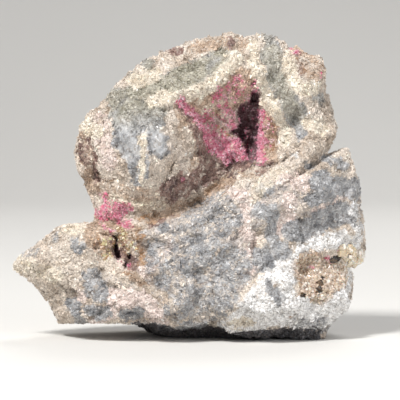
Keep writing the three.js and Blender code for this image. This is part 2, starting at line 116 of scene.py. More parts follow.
# Ribs and furrows: half width, rise, then the points of a line
RIBS = [
    (2, 2.6, (-9.4, 65.8), (-1.4, 67), (7.4, 70.6), (14.6, 77.4)),
    (2.4, 1.4, (-21, 67), (-13, 74.6), (6, 81.4), (16, 81.6)),
    (2.2, -1.4, (-15, 68), (-6, 72.4), (11, 78.4)),
    (2.4, 2.8, (18.6, 78), (22.6, 65), (28.2, 52.6)),
    (1.9, -2.2, (23.2, 82), (28.6, 65.6), (31, 58.4)),
    (2, -3, (-1, 66), (4, 60.4), (12, 48.6)),
    (1.4, 1.6, (-12, 56), (-11.2, 49), (-12.4, 43)),
    (1.8, -2.6, (-27, 56), (-27, 47), (-24.4, 39)),
    (1.8, -0.9, (-8, 29), (6, 32.4), (34, 43.6)),
    (1.8, -0.9, (-30, 13), (-14, 16.4), (2, 19), (16, 26)),
    (1.5, -1.8, (14, 8.6), (26, 6.6), (36, 9.6)),
]

# Deep holes: middle, half width and height, turn, depth
HOLES = [
    ((17, 60.6), (3.4, 5), 4, 7.5),
    ((18.9, 58), (1.9, 11.4), 2, 8.5),
    ((14.4, 57.2), (3.2, 1.4), 0, 6),
    ((15.8, 56.2), (1.8, 2.2), 0, 7.5),
    ((18.4, 52.8), (2.6, 5), 0, 8),
    ((-19.6, 24.4), (1.2, 2.6), 14, 6),
    ((-16.9, 21.2), (0.8, 1), 0, 4),
    ((-19.8, 28.2), (0.9, 1), 0, 3),
    ((-15.8, 23.4), (0.7, 1), 0, 3),
]
# Noise that makes a hole's oval uneven: weight, size and seed. Then where its edge starts and ends
HOLE_WAVER = [(0.26, 2.4, 91), (0.16, 1, 92)]
HOLE_EDGE = (0.62, 1.12)

# Flat breaks: outward normal, distance from the heart
BREAKS = [
    ((0.08, -0.62, -0.78), 31.5),
    ((-0.5, -0.4, -0.77), 38.5),
    ((-0.55, 0.82, 0.14), 26),
    ((0.52, 0.84, 0.12), 29),
    ((0.05, 0.7, -0.71), 27),
    ((0.1, 0.74, 0.67), 40),
    ((-0.06, 0.97, 0.24), 24.5),
    ((0.84, -0.5, 0.2), 49),
    ((-0.3, -0.55, 0.78), 53),
    ((-0.62, -0.78, 0.1), 35.5),
    ((0.9, 0.42, 0.05), 46.5),
    ((0.25, 0.5, 0.83), 52.5),
    ((-0.8, 0.55, 0.25), 35.5),
]
# The foot in [x, y], how far it is pressed down, and how much a direction faces down where it starts
FOOT_MIDDLE, FOOT_REACH, FOOT_DROP = (11, 2), (26, 11.5), 4.6
FOOT_FACING = (0.15, 0.6)

# Roughness: size, rise and seed of each layer of facets, from boulders down to single grains
FACETS = [(13, 2.7, 3), (5.6, 1.05, 17), (2.5, 0.55, 61), (1.15, 0.34, 83)]
FACET_SHARPNESS = 22.0
LARGE_FACET = 3.0
SWELL_SIZE, SWELL_RISE, SWELL_SEED = 3.4, 0.4, 31
RIM_SHARE, RIM_BAND = 0.12, (0.03, 0.3)
# Relief is pushed out from the heart, twice as much through the depth
PUSH_AXES = np.array([1, 2, 1])

# Colour zones on the face: half width, how much of the colour at most, then the points of a line
GREY_AND_EDGE_SHADE_ZONES = [
    (3.2, 0.85, (-19, 66), (-13, 66)), (3.2, 1, (-18.8, 61.8), (-16.4, 58.4)),
    (3.2, 0.8, (-13, 61.6), (-8.6, 61.6)), (3.2, 1, (-17.4, 55.6), (-15.6, 52.4)),
    (3, 1, (-9.4, 57.2), (-7.8, 53)), (1.3, 1, (-15.2, 49), (-14.4, 44.4)),
    (1.1, 1, (-11.4, 50.4), (-10.9, 45.6)),
    (2.9, 1, (-14, 67.4), (-7, 69), (0, 72.2), (5, 75), (9.4, 77.2)),
    (1.7, 1, (22.5, 84.4), (24.1, 77.8)), (2.4, 1.8, (23.9, 78.6), (25.4, 72), (28.4, 66), (31.2, 61)),
    (1.6, 1.1, (30.9, 61.9), (32.4, 56.4)), (1.1, 0.7, (36.1, 66.6), (37.6, 66.4)),
    (3.4, 0.55, (1, 33), (10, 37)), (4.4, 0.58, (0, 28), (11, 33)), (5.4, 0.68, (3, 22.6), (12.4, 21)),
    (4.8, 0.54, (-8.4, 24), (-1, 15)), (3.2, 0.66, (4.6, 12.8), (11, 12.6)), (3, 0.56, (-3, 9), (8, 8)),
    (2.2, 1, (19.4, 36.4), (23.8, 34.4), (23.6, 28.4)), (2.4, 0.8, (21.2, 41.8)),
    (3.3, 1, (20.8, 22.8), (26, 24.8), (27.4, 21)), (3, 1, (37, 44), (46.8, 41)),
    (2.1, 1, (34, 39), (38.6, 39.4)), (3.2, 1, (30, 30), (37, 33), (44, 34.6)),
    (1.4, 0.6, (46, 34), (47.6, 30.6)), (1.4, 0.8, (33.6, 47.9)), (1.7, 0.8, (39, 49.6), (43.6, 48.6)),
    (1.9, 0.8, (22.6, 15.6), (25.6, 13.4)), (2, 0.7, (33, 5), (39, 3.2)),
    (1.7, 1, (-31.2, 26.8), (-29.6, 26)), (1.5, 0.5, (-45.2, 23), (-43, 25)),
    (1.2, 0.45, (-37.6, 28.6), (-35.8, 28.9)), (3.1, 0.75, (-26.6, 18), (-24.4, 13.6)),
    (1.9, 0.9, (-31.8, 9.6), (-30.4, 6)), (2, 0.9, (-26.4, 8), (-23, 8.4)),
    (1.7, 0.9, (-17.4, 7.4), (-13.4, 8)), (1.6, 0.9, (-6.6, 31)), (1.5, 0.8, (-9.6, 25.4)),
    # Next line: its last zone, along the lower edge, is painted shade of the undercut
    (1.6, 0.8, (-11.6, 76.2)), (1.1, 0.6, (-15.8, 72.2)), (1.8, 0.9, (-14, 3.6), (-4, 3), (4, 4.4)),
]
# The slab's broad grey, finely mixed with pinkish white
MIXED_ZONES = [
    (6, 0.6, (0, 29), (12, 34), (24, 38)), (8, 0.6, (-8, 24), (4, 16), (12, 22)),
    (7, 0.55, (32, 36), (44, 38)), (6, 0.35, (-26, 14), (-10, 8)),
]
WHITE_ZONES = [
    (3.4, 0.9, (12, 4.6), (17, 8), (20, 13)), (4.6, 1, (16, 6), (22, 9), (30, 8), (42, 8)),
    (2.3, 1, (21.4, 16.4), (26.6, 20.2), (32.4, 25), (38, 27.4), (44, 27)),
    (1.9, 1, (27.4, 20), (28.4, 12)), (1.6, 0.9, (46.6, 36), (48, 29), (47.4, 25.6)),
    (2.4, 1, (44.6, 19), (43.6, 12)), (1, 1, (30.4, 51.4)), (0.9, 0.6, (-21, 3.6), (-10, 3.4)),
]
# Grey patches inside the white
PATCH_ZONES = [
    (1.9, 0.8, (22.8, 16), (25, 12.8)), (1.4, 0.6, (31, 5.2), (38, 5.4)),
    (0.9, 0.5, (46.2, 36), (47, 32)),
]
# Pinkish white streaks of the slab
ROSY_ZONES = [
    (1.7, 1, (15.4, 36.4), (16.4, 30), (17.4, 20.6)), (1.6, 1, (28.6, 39.6), (28, 34), (25.6, 30)),
    (1.7, 0.8, (12.4, 41), (20, 38.6)), (2.6, 0.9, (-20, 12), (-12, 11.4), (-7, 6)),
    (1.6, 0.8, (-26, 4.6), (-18, 9.6)), (2, 0.7, (-12, 20), (-4, 27)),
    (0.8, 1, (35.2, 35.5), (42, 38.4), (48, 40)), (2, 0.7, (25, 44.6), (33, 43.6)),
    (1.6, 0.8, (-30, 12.4), (-28, 12)), (2.8, 0.6, (-24, 60), (-22, 50)),
]
# Bright cream ridges of the lobe
CREAM_ZONES = [
    (2, 1, (-9.8, 66), (-1.4, 66.8), (7.3, 70.2), (10.4, 73.8), (14, 77.4)),
    (1.9, 1, (-14.6, 71), (-8.6, 73.4)),
    (1.7, 1.1, (18.4, 82), (19.4, 75), (22.4, 68), (26.2, 59), (27.4, 54.6)),
    (1.6, 1, (28.4, 78), (29.6, 71), (33, 68.4), (36.4, 69.6)), (1.8, 0.8, (33.6, 59.4), (38, 58)),
    (0.9, 1, (-12.4, 57), (-12.4, 50), (-12.9, 45)), (2.2, 0.9, (-29.6, 60.4), (-26, 57.4)),
    (3, 0.6, (-46, 20), (-38, 18)), (1.4, 0.8, (-35, 30), (-30, 30.6)),
    (1.8, 0.6, (18.4, 39.6), (24, 46.6)), (1.8, 0.62, (-20, 38.2), (-14, 36.6), (-8, 37.2)),
    (1.5, 0.7, (12.4, 5.4), (17.6, 6.2)), (1.7, 0.46, (4.6, 63.6), (11.4, 66.4)),
]
# Tan crust beside the browns
TAN_ZONES = [
    (4.6, 0.9, (0.6, 63), (9, 66.6), (15, 70)), (2.6, 0.56, (2, 62), (4, 54), (2.4, 47)),
    (3.8, 0.5, (-22, 41), (-12, 39), (-4, 40)), (1.6, 0.9, (-10, 33.6), (2, 36.6), (12, 43.6)),
    (4.6, 0.8, (-24, 29.6), (-14, 26), (-12, 20)), (2, 1, (22.6, 61), (23.4, 50)),
    (2.2, 0.5, (14, 47.4), (22, 47)), (2, 0.7, (2, 80.6), (16, 81.6)), (3, 0.6, (30, 78), (36, 74)),
    (2.4, 0.7, (-28.6, 56), (-27, 42)), (3, 0.7, (33.2, 20), (34, 14.6)),
]
# Brown crust, and painted shade in the recess below the boss and at the foot of the slot
BROWN_AND_RECESS_SHADE_ZONES = [
    (1.3, 0.62, (-29.4, 54), (-28.6, 49)), (0.8, 0.9, (-26.8, 55.6), (-26.4, 49), (-25.2, 44)),
    (2.8, 0.74, (-5.2, 40.6), (-1.6, 43.4)), (3, 0.68, (-1, 42), (4, 44.6), (10.4, 47.4)),
    (2.4, 0.7, (4.6, 50.6), (9.6, 48.6)), (2, 0.75, (1.6, 60.6), (4, 55), (4.6, 50)),
    (1.7, 0.75, (-20.4, 28.4), (-16.8, 24), (-14.4, 21)), (1.6, 0.5, (-24.6, 27.4)),
    (1.6, 0.6, (33.2, 20), (34, 14.6)), (1.4, 0.6, (30.4, 77.6), (32.4, 73.4)),
    (0.9, 0.7, (24.6, 61), (24.8, 54.6)), (1.2, 0.7, (-2.6, 65), (-0.6, 62.4)),
    (2, 0.4, (9, 59), (12.6, 63.4)), (1.2, 0.8, (-4.4, 79.4), (-2, 79.6)), (1.4, 0.8, (12.2, 81.6)),
    (0.8, 0.6, (-11, 31.8), (-3, 34)), (1.4, 0.6, (20.6, 46.6), (22.6, 48)),
    (1.5, 1.2, (15.2, 55.2), (15.6, 51)), (1.3, 1.1, (11.6, 48.4), (16.6, 47.8)),
]
# Ochre crystals round the pocket, along the seam and beside the slot
OCHRE_ZONES = [
    (1, 0.52, (-25, 28.6), (-23.6, 24.6)), (1.3, 0.58, (-13.8, 29.4), (-12.6, 22.6)),
    (0.8, 0.52, (-19.6, 20.2), (-15.4, 18.8)), (1, 0.5, (-18.4, 29.4), (-17.2, 25)),
    (0.8, 0.5, (-14, 33), (-8, 33.8)), (0.6, 0.44, (4, 38.6), (9, 42)), (0.9, 0.55, (23.6, 60), (24, 53)),
    (0.9, 0.55, (9.8, 58.6), (12.2, 55.6)), (0.8, 0.45, (6, 60.2), (8, 63)),
    (1.1, 0.5, (31, 77), (32.8, 73.6)), (0.6, 0.5, (28.6, 6.6)),
]
# Painted shade: the deepest shadow of the recess, of the corner below the slot and of a furrow on the lobe's
# left
RECESS_SHADE_ZONES = [
    (1.2, 0.46, (-4.6, 43.6), (-4, 39.6)), (0.8, 0.6, (12.2, 48), (12.8, 44.6)),
    (0.9, 0.6, (14, 48.2), (17.6, 48.4)), (0.5, 0.5, (-26.6, 50), (-26, 45)),
]
# Dark lines round the boss's glossy plates
RIM_ZONES = [
    (0.3, 0.9, (-19.6, 57.8), (-19.2, 54.6), (-17, 51.6), (-13.6, 50.4)),
    (0.3, 0.9, (-10.9, 57.6), (-10.7, 53.4), (-9, 50.6), (-6.4, 50.2), (-5.2, 53)),
    (0.3, 0.7, (-5.2, 53), (-6.2, 56.8), (-9, 58.8)),
    (0.3, 0.7, (-19.8, 65), (-16.4, 66.6), (-12.4, 65.6)), (0.25, 0.7, (-14.4, 58.6), (-13.6, 54.6)),
    (0.25, 0.7, (-15.4, 48.4), (-15.2, 44.6)),
]
# Painted shade along the undercut lower edge
LOWER_EDGE_SHADE_ZONES = [(2.4, 1.2, (-13, 2.6), (-2, 0.8), (12, 1), (26, 0.8), (35, 1.4))]
# Bloom: the same, and the second number is the share of the surface that it covers
HOLLOW_BLOOM = [
    (0.9, 0.95, (-2.2, 65.8), (2.2, 61.6), (6.2, 55.8), (10.6, 50.8)),
    (2.8, 0.85, (7.4, 55), (11.4, 51.4)), (1.7, 0.75, (13, 54), (15.4, 50.6)),
    (0.6, 0.7, (21.1, 62.6), (21.3, 56)), (0.8, 0.9, (21.3, 56), (21.2, 49.8)),
    (1, 0.14, (22.8, 60), (23.2, 54)), (2.6, 0.3, (4.6, 61), (9.6, 58.6)),
    (2.8, 0.3, (9.4, 66.4), (14.4, 69.6)), (1.4, 0.45, (11.6, 62.4), (13.2, 58.4)),
    (1.4, 0.25, (17, 67.4), (18.6, 69.4)), (2.4, 0.3, (17.6, 62), (18.8, 52)), (0.5, 0.9, (-1.8, 44.2)),
    (0.6, 0.4, (29.2, 79), (31.6, 78.8)), (0.6, 0.6, (37.5, 72.2)),
]
POCKET_BLOOM = [
    (0.8, 0.9, (-22.8, 39.4), (-22.4, 36.6)), (2, 0.9, (-23.4, 34.6), (-17.4, 36)),
    (1.3, 0.95, (-19.6, 34), (-16.8, 31.8)), (0.6, 0.7, (-23.6, 31.4), (-20.6, 29.6)),
    (0.45, 0.6, (-17.8, 21.6), (-15.4, 20.8)),
]
VUG_BLOOM = [
    (0.6, 1, (39.6, 22.2)), (0.4, 1, (42.2, 25.2), (43.2, 24.2)), (0.35, 1, (34.6, 20.3)),
]
VUG_ZONES = [(4.4, 0.85, (34, 20.6), (36.4, 15)), (3.6, 0.8, (36, 18.6), (41.4, 17.6))]
DARK_SPOTS = [
    (0.4, 1, (32.3, 13)), (0.3, 1, (36.3, 13.6), (36.5, 14.4)), (0.4, 1, (36.8, 15.6), (37.2, 17)),
    (0.4, 1, (40.8, 22.4), (41.6, 22.2)),
]
VUG_LIP = [(2, 1, (44.4, 24), (48, 21.4))]
POCKET_GEMS = [(1.7, 1, (-18.6, 29.4), (-15.8, 26)), (1.6, 0.6, (-21.4, 28), (-22.4, 23.6))]
# Smooth glossy patches of the boss and the slab, which carry few grains
GLOSSY_ZONES = [
    (2.6, 0.8, (-18.8, 61.8), (-16.4, 58.4)), (3, 1, (-17.4, 55.6), (-15.6, 52.4)),
    (2.6, 1, (-9.4, 57.2), (-7.8, 53)), (2.6, 0.6, (37, 44), (46.8, 41)),
]
# Noise that pushes the zones' edges about: size, push, and its seeds for x and z
RAGGED = [(3.4, 0.9, 201, 211), (1.3, 0.7, 202, 212)]
# How softly a zone fades, and the share at which its colour starts and is full
ZONE_FADE, RIM_FADE, SPOT_FADE = 0.7, 0.35, 0.4
ZONE_EDGE = (0.25, 0.75)
# Weight, size and seed of each noise in the stone's mottle, in its patches and in the zones' spread
MOTTLE = [(0.5, 2.1, 221), (0.3, 0.9, 222)]
PATCHES = [(0.6, 7, 223), (0.4, 3, 224)]
EDGE_SPREAD = [(0.28, 1.4, 225), (0.22, 0.7, 226)]
# The spread is full from a share of 1 / 5. On the hidden sides a kind's share varies by this much
SPREAD_START = 5
HIDDEN_SPREAD = 0.5
# Depths through which the face's zones give way to the hidden sides, and where the painted shade inside a
# hole sets in
FACE_FADE = (14, 5)
HOLE_SHADE_FADE = (0.6, 3)
# Where the grey is greenish: patches, height on the lobe, and the left part, where it is most
GREEN_PATCHES, GREEN_RISE, LOBE_RISE, GREEN_LEFT = (-0.3, 0.3), (58, 65), (56, 60), (24, 16)
RIM_STRENGTH, BLUSH_STRENGTH = 0.8, 0.42

# Two shades for each kind as 8-bit values: the stone's colours in daylight, and the painted shade noted
# below
CREAM_STONE = ((222, 211, 199), (188, 172, 156))
TAN_STONE = ((214, 193, 173), (168, 144, 124))
GREY_STONE = ((198, 198, 199), (132, 134, 138))
GREEN_STONE = ((192, 187, 172), (142, 138, 122))
MIXED_STONE = ((222, 212, 205), (156, 152, 151))
WHITE_STONE = ((248, 247, 246), (232, 230, 228))
ROSY_STONE = ((240, 226, 219), (214, 197, 190))
BRIGHT_STONE = ((238, 230, 216), (218, 205, 186))
OCHRE_STONE = ((192, 156, 120), (142, 108, 82))
# Painted shade, deepest in the recess
RECESS_SHADE = ((98, 74, 72), (62, 46, 48))
# Brown crust, and painted shade in the recess
BROWN_AND_RECESS_SHADE = ((162, 134, 124), (106, 82, 78))
# Dark rims of the glossy plates, and painted shade along the lower edge
DARK_RIM_AND_EDGE_SHADE = ((98, 98, 102), (60, 60, 64))
VUG_STONE = ((222, 206, 192), (184, 164, 148))
ROSE_TINGE = ((214, 144, 150), (214, 144, 150))
# Painted shade inside the holes, purple-brown
HOLE_SHADE = ((126, 90, 98), (126, 90, 98))

# Kinds of stone over the cream, from the lowest up: shades, zones, and on the hidden sides the mean share
# with the size and seed of its noise
LOWER_LAYERS = [
    (TAN_STONE, TAN_ZONES, (0.3, 10, 235)),
    (MIXED_STONE, MIXED_ZONES, (0.3, 13, 236)),
    (ROSY_STONE, ROSY_ZONES, (0.3, 9, 231)),
    (GREY_STONE, GREY_AND_EDGE_SHADE_ZONES, (0.42, 11, 232)),
]
UPPER_LAYERS = [
    (WHITE_STONE, WHITE_ZONES, (0.16, 12, 233)),
    (GREY_STONE, PATCH_ZONES, None),
    # Brown crust, partly painted shade in the recess
    (BROWN_AND_RECESS_SHADE, BROWN_AND_RECESS_SHADE_ZONES, (0.2, 8, 234)),
    (OCHRE_STONE, OCHRE_ZONES, None),
    # Painted shade of the recess's deepest parts
    (RECESS_SHADE, RECESS_SHADE_ZONES, None),
    (BRIGHT_STONE, CREAM_ZONES, None),
    # Painted shade along the lower edge
    (DARK_RIM_AND_EDGE_SHADE, LOWER_EDGE_SHADE_ZONES, None),
]

# Lighter and darker grains: the factor on the stone's tint, and the odds
SPECKS = [(1.32, 0.18), (0.68, 0.13)]
# Colours of the crystals as 8-bit values, and the odds of each
BLOOM_PALETTE = (
    [(250, 200, 214), (246, 172, 194), (236, 144, 172), (214, 112, 142), (252, 222, 230)],
    [0.28, 0.3, 0.18, 0.1, 0.14],
)
VUG_PALETTE = (
    [(214, 198, 180), (194, 175, 156), (168, 147, 130), (230, 222, 212)],
    [0.34, 0.32, 0.14, 0.2],
)
LIP_PALETTE = ([(232, 220, 200), (214, 198, 172), (240, 234, 224)], [0.4, 0.3, 0.3])
SPOT_PALETTE = ([(40, 36, 34), (62, 54, 50)], [0.7, 0.3])
GEM_PALETTE = (
    [(222, 216, 180), (196, 182, 142), (164, 136, 104), (232, 228, 214)],
    [0.34, 0.28, 0.2, 0.18],
)


def smooth(low, high, value):
    """A smooth step from 0 below low to 1 above high."""
    share = np.clip((value - low) / (high - low), 0, 1)
    return share * share * (3 - 2 * share)


def lattice_random(cell, seed):
    """A number from 0 to 1 for each cell of whole numbers: products with large odd numbers, folded over."""
    i, j, k = (cell[..., axis].astype(np.uint32) for axis in range(3))
    mixed = i * np.uint32(374761393) + j * np.uint32(668265263) + k * np.uint32(1440662683)
    mixed = (mixed + np.uint32(seed * 974634777 % 2**32)) * np.uint32(1274126177)
    mixed = (mixed ^ (mixed >> np.uint32(15))) * np.uint32(2246822519)
    return (mixed ^ (mixed >> np.uint32(13))) / 2.0**32


def swell(points, size, seed):
    """Smooth noise from -1 to 1: random values at a lattice's corners, blended inside each cell."""
    cell = np.floor(points / size).astype(np.int64)
    ease = smooth(0, 1, points / size - cell)
    total = np.zeros(len(points))
    for corner in range(8):
        step = np.array([corner & 1, corner >> 1 & 1, corner >> 2])
        share = np.prod(np.where(step, ease, 1 - ease), axis=1)
        total += share * lattice_random(cell + step, seed)
    return 2 * total - 1


def noise_sum(points, parts):
    """The sum of some smooth noises, each with its own weight, size and seed."""
    return sum(weight * swell(points, size, seed) for weight, size, seed in parts)


def facets(points, size, seed):
    """Broken-rock relief: each scattered seed point has a tilted plane, weighted by exp(-k distance^2)."""
    cell = np.floor(points / size).astype(np.int64)
    total = np.zeros(len(points))
    weights = np.zeros(len(points))
    for number in range(27):
        near = cell + np.array([number % 3 - 1, number // 3 % 3 - 1, number // 9 - 1])
        draws = [lattice_random(near, seed + which) for which in range(7)]
        away = points / size - near - np.stack(draws[:3], axis=1)
        weight = np.exp(-FACET_SHARPNESS * (away**2).sum(axis=1))
        tilt = np.stack(draws[3:6], axis=1) - 0.5
        total += weight * (2 * (tilt * away).sum(axis=1) + draws[6] - 0.5)
        weights += weight
    return total / weights


def local_to(middle, reach, turn, x, z):
    """[x, z] in the turned and stretched frame of an oval, where 1 is one reach from its middle."""
    angle = math.radians(turn)
    dx, dz = x - middle[0], z - middle[1]
    along = (dx * math.cos(angle) + dz * math.sin(angle)) / reach[0]
    return along, (dz * math.cos(angle) - dx * math.sin(angle)) / reach[1]


def distance_to(line, x, z):
    """Shortest distance from each [x, z] to a line of points, or to its one point."""
    ends = line if len(line) > 1 else [line[0], line[0]]
    nearest = np.full(x.shape, np.inf)
    for (ax, az), (bx, bz) in zip(ends[:-1], ends[1:]):
        dx, dz = bx - ax, bz - az
        share = np.clip(((x - ax) * dx + (z - az) * dz) / max(dx * dx + dz * dz, 1e-9), 0, 1)
        nearest = np.minimum(nearest, np.hypot(x - ax - share * dx, z - az - share * dz))
    return nearest


def outline_table(steps=8):
    """Angle and radius about the heart of a closed spline of cubics, whose slopes follow the neighbours."""
    before, here, after, beyond = (np.roll(OUTLINE, n, axis=0)[:, None] for n in (1, 0, -1, -2))
    t = np.linspace(0, 1, steps, endpoint=False)[None, :, None]
    slopes = SPLINE_TENSION * (after - before), SPLINE_TENSION * (beyond - here)
    curve = (2 * t**3 - 3 * t**2 + 1) * here + (3 * t**2 - 2 * t**3) * after
    curve = curve + (t**3 - 2 * t**2 + t) * slopes[0] + (t**3 - t**2) * slopes[1]
    dx, dz = (curve.reshape(-1, 2) - HEART).T
    angles = np.arctan2(dz, dx)
    order = np.argsort(angles)
    return angles[order], np.hypot(dx, dz)[order]


ROUND_ANGLES, ROUND_RADII = outline_table()


def tip_taper(x):
    """The part of the slab's depth that is left towards its left tip."""
    return TIP_SHARE + (1 - TIP_SHARE) * smooth(*TIP_TAPER, x)


def face_depth(x, z):
    """Depth of the face before the rim plane: a step from lobe to slab, plus the mounds and the ribs."""
    below = np.interp(x, *SEAM.T) - z
    slab = (SLAB_FACE - SLAB_LEAN * (z - HEART[1])) * tip_taper(x)
    depth = LOBE_FACE + (slab - LOBE_FACE) * smooth(-SEAM_STEP, SEAM_STEP, below)
    sink_width = np.where(below > 0, SINK_BELOW, SINK_ABOVE)
    depth = depth - np.interp(x, *SEAM_SINK.T) * np.exp(-((below / sink_width) ** 2))
    for middle, reach, turn, rise in MOUNDS:
        along, over = local_to(middle, reach, turn, x, z)
        depth = depth + rise * np.exp(-along**2 - over**2)
    for half, rise, *line in RIBS:
        depth = depth + rise * np.exp(-((distance_to(line, x, z) / half) ** 2))
    return depth


def hole_depth(points):
    """How far the holes sink the face: full inside an uneven oval, falling off steeply at its edge."""
    x, z = points[:, 0], points[:, 2]
    flat = np.stack([x, 0 * x, z], axis=1)
    uneven = noise_sum(flat, HOLE_WAVER)
    sunk = np.zeros(len(x))
    for middle, half, turn, depth in HOLES:
        out = np.hypot(*local_to(middle, half, turn, x, z)) + uneven
        sunk = np.maximum(sunk, depth * (1 - smooth(*HOLE_EDGE, out)))
    return sunk


def form_points(direction):
    """Points of the main form for unit directions from the heart."""
    angle = np.arctan2(direction[:, 2], direction[:, 0])
    across = np.hypot(direction[:, 0], direction[:, 2])
    squareness = SQUARENESS + (FOOT_SQUARENESS - SQUARENESS) * np.maximum(0, -np.sin(angle)) ** 2
    through = np.sqrt(np.clip(1 - across**squareness, 0, 1))
    turned = angle + BACK_TWIST * np.maximum(0, direction[:, 1])
    ahead, behind = (np.interp(a, ROUND_ANGLES, ROUND_RADII, period=2 * math.pi) for a in (angle, turned))
    radius = np.minimum(ahead, behind) * across
    x = HEART[0] + radius * np.cos(angle)
    z = HEART[1] + radius * np.sin(angle)
    slab_share = smooth(-BACK_STEP, BACK_STEP, np.interp(x, *SEAM.T) - z)
    back = (BACK_LOBE + (BACK_SLAB - BACK_LOBE) * slab_share) * tip_taper(x)
    depth = np.where(direction[:, 1] < 0, -face_depth(x, z), back)
    drift = sum(rise * np.sin(turns * angle + start) for rise, turns, start in RIM_WAVES)
    return np.stack([x, depth * through + drift * across, z], axis=1)


def break_flat(points):
    """Moves what lies past each break plane back onto the plane."""
    heart = np.array([HEART[0], 0, HEART[1]])
    for normal, distance in BREAKS:
        outward = np.array(normal) / np.linalg.norm(normal)
        over = np.maximum(0, (points - heart) @ outward - distance)
        points = points - over[:, None] * outward
    return points


def roughen(points, direction):
    """Pushes points out by facets of several sizes and a swell. Near the rim the large ones shrink."""
    share = RIM_SHARE + (1 - RIM_SHARE) * smooth(*RIM_BAND, np.abs(direction[:, 1]))
    rise = share * SWELL_RISE * swell(points, SWELL_SIZE, SWELL_SEED)
    for size, most, seed in FACETS:
        rise = rise + (share if size > LARGE_FACET else 1) * most * facets(points, size, seed)
    outward = direction * PUSH_AXES
    outward /= np.linalg.norm(outward, axis=1, keepdims=True)
    return points + outward * rise[:, None]


def stand_on_foot(points, direction):
    """Presses the underside down round the foot and cuts it off level at z = 0."""
    u = (points[:, 0] - FOOT_MIDDLE[0]) / FOOT_REACH[0]
    v = (points[:, 1] - FOOT_MIDDLE[1]) / FOOT_REACH[1]
    press = smooth(*FOOT_FACING, -direction[:, 2]) * np.exp(-((u * u + v * v) ** 2))
    lowered = points[:, 2] - FOOT_DROP * press
    return np.column_stack([points[:, :2], np.maximum(0, lowered)])


def box_surface(cells):
    """Lattice points and four-sided faces over a box of whole cells each way, with shared edges merged."""
    quads = []
    for axis in range(3):
        first, second = (axis + 1) % 3, (axis + 2) % 3
        a, b = np.meshgrid(np.arange(cells[first]), np.arange(cells[second]), indexing="ij")
        for side in (0, cells[axis]):
            corners = [(0, 0), (1, 0), (1, 1), (0, 1)] if side else [(0, 0), (0, 1), (1, 1), (1, 0)]
            quad = np.zeros((a.size, 4, 3), int)
            for number, (da, db) in enumerate(corners):
                quad[:, number, axis] = side
                quad[:, number, first] = a.ravel() + da
                quad[:, number, second] = b.ravel() + db
            quads.append(quad)
    corners = np.concatenate(quads).reshape(-1, 3)
    lattice, index = np.unique(corners, axis=0, return_inverse=True)
    return lattice, index.reshape(-1, 4)


def mesh_object(name, points_mm, faces, material, smooth_shading=False):
    """A mesh object at the origin from points in millimetres and faces with equally many corners."""
    mesh = bpy.data.meshes.new(name)
    sides = faces.shape[1]
    mesh.vertices.add(len(points_mm))
    mesh.vertices.foreach_set("co", (points_mm * MM).ravel())
    mesh.loops.add(faces.size)
    mesh.loops.foreach_set("vertex_index", faces.ravel().astype(np.int32))
    mesh.polygons.add(len(faces))
    mesh.polygons.foreach_set("loop_start", np.arange(0, faces.size, sides, dtype=np.int32))
    mesh.polygons.foreach_set("use_smooth", np.full(len(faces), smooth_shading))
    mesh.update(calc_edges=True)
    mesh.validate()
    mesh.materials.append(material)
    made = bpy.data.objects.new(name, mesh)
    bpy.context.scene.collection.objects.link(made)
    return made


def point_attribute(made, name, values):
    """Stores a number, or a colour with alpha 1, at every point of a piece."""
    if values.ndim == 1:
        stored = made.data.attributes.new(name, "FLOAT", "POINT")
        stored.data.foreach_set("value", values.astype(np.float32))
        return
    colours = np.column_stack([values, np.ones(len(values))]).astype(np.float32)
    stored = made.data.attributes.new(name, "FLOAT_COLOR", "POINT")
    stored.data.foreach_set("color", colours.ravel())


def cover_of(zones, x, z, fade=ZONE_FADE):
    """The largest share of any zone at each place. A zone's share fades to nothing across its edge."""
    cover = np.zeros(x.shape)
    for half, share, *line in zones:
        cover = np.maximum(cover, share * (1 - smooth(half - fade, half + fade, distance_to(line, x, z))))
    return cover


def ragged(place):
    """[x, z] of each place, pushed about by noise of two sizes so that every zone's edge is uneven."""
    x, z = place[:, 0].copy(), place[:, 2].copy()
    for size, push, seed_x, seed_z in RAGGED:
        x += push * swell(place, size, seed_x)
        z += push * swell(place, size, seed_z)
    return x, z


def srgb(red, green, blue):
    """A linear colour with alpha 1 from 8-bit values as seen on a screen."""
    scaled = [value / 255 for value in (red, green, blue)]
    return [v / 12.92 if v <= 0.04045 else ((v + 0.055) / 1.055) ** 2.4 for v in scaled] + [1]


def blend(colours, shades, shade, share):
    """Moves each colour by its share towards a mix of two shades: the first at 0, the second at 1."""
    first, second = (np.array(srgb(*value)[:3]) for value in shades)
    target = first + (second - first) * np.clip(shade, 0, 1)[:, None]
    return colours + (target - colours) * np.clip(share, 0, 1)[:, None]


def green_share(patchy, x, z):
    """How green the grey stone is: in patches on the lobe, most on its left, and not at all on the slab."""
    share = smooth(*GREEN_PATCHES, patchy) * smooth(*GREEN_RISE, z) * (0.3 + 0.7 * smooth(*GREEN_LEFT, x))
    return (0.2 + 0.8 * share) * smooth(*LOBE_RISE, z) * cover_of(GREY_AND_EDGE_SHADE_ZONES, x, z)


